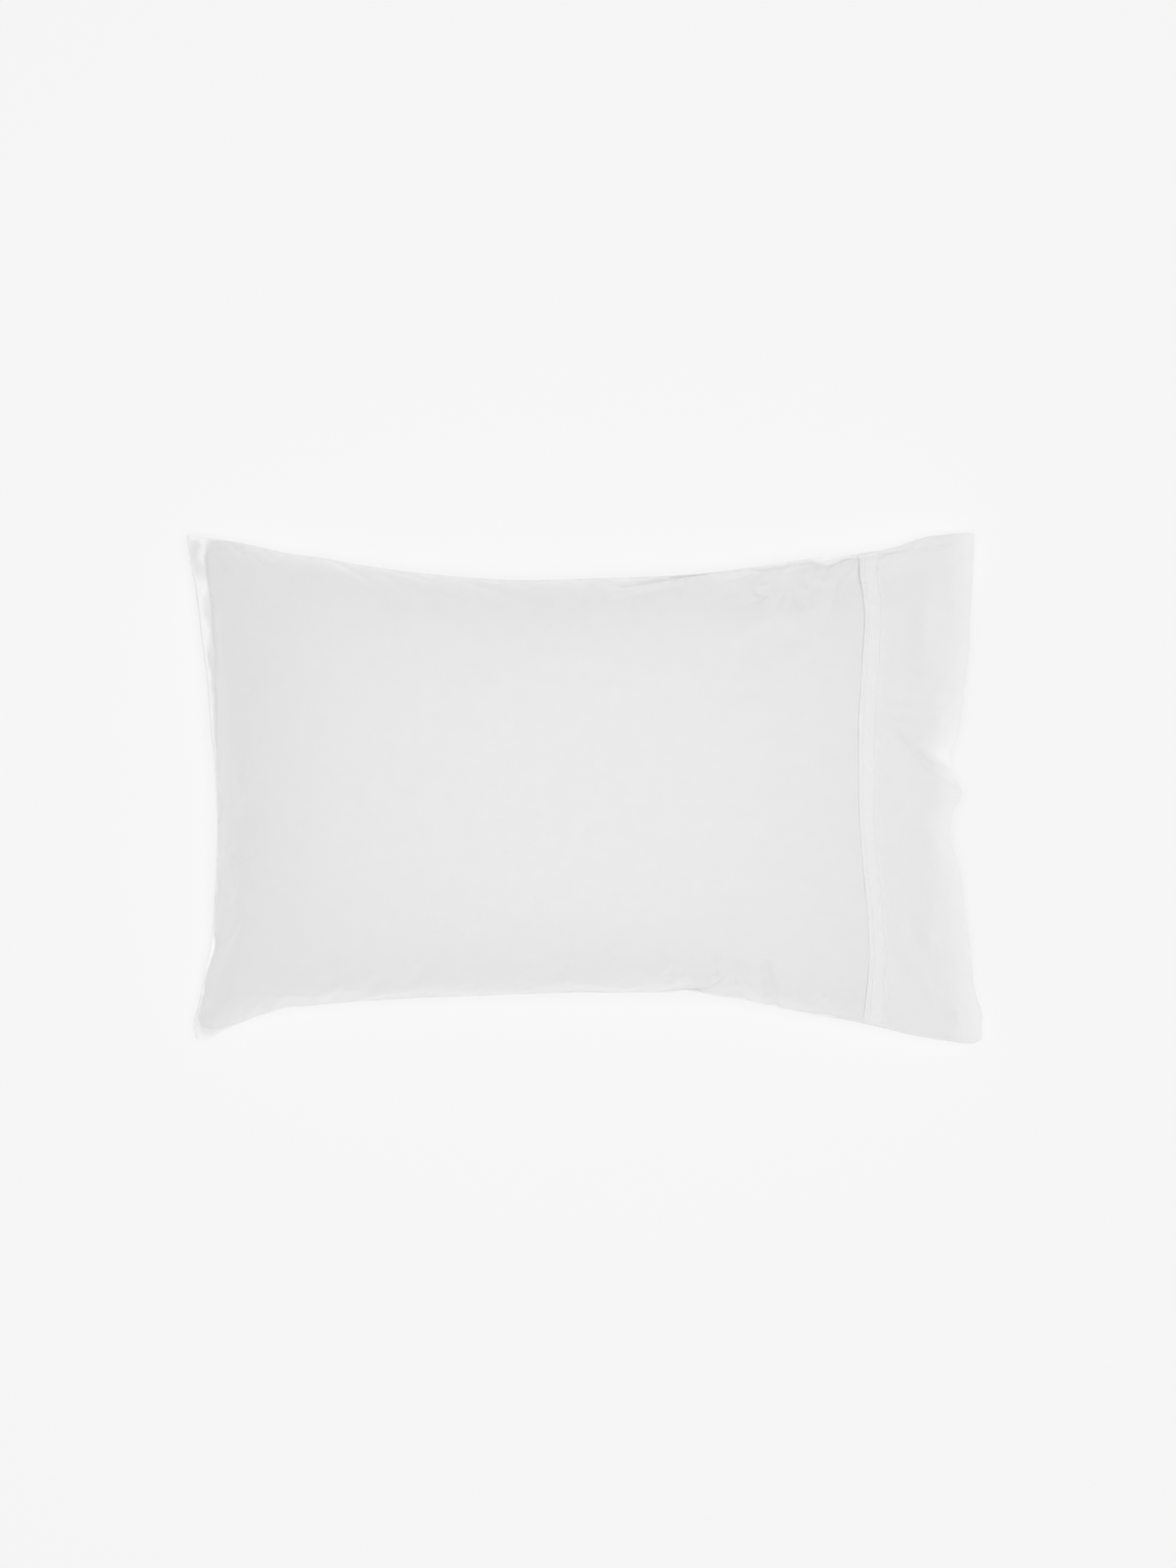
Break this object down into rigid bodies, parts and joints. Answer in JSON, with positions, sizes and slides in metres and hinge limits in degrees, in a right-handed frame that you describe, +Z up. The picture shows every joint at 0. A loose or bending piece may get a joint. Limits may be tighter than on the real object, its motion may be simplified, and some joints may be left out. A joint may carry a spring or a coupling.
{
  "type": "pillowcase",
  "caption": "Filled pillowcase on its back, with drawn-in side seams, a closed end with flat corners and a wide lapped cuff round its open mouth.",
  "frame": {"origin": "middle of the bounding box at the underside, on the surface that the case lies on", "axes": "+X along the length towards the open mouth, +Y across the width, +Z up through the crown"},
  "size_m": [0.7966, 0.5114, 0.169],
  "materials": {
    "body_cotton": "matte plain-woven cotton",
    "cuff_cotton": "matte plain-woven cotton"
  },
  "bodies": {
    "root": {"case_body": "body_cotton", "cuff": "cuff_cotton"}
  },
  "joints": []
}
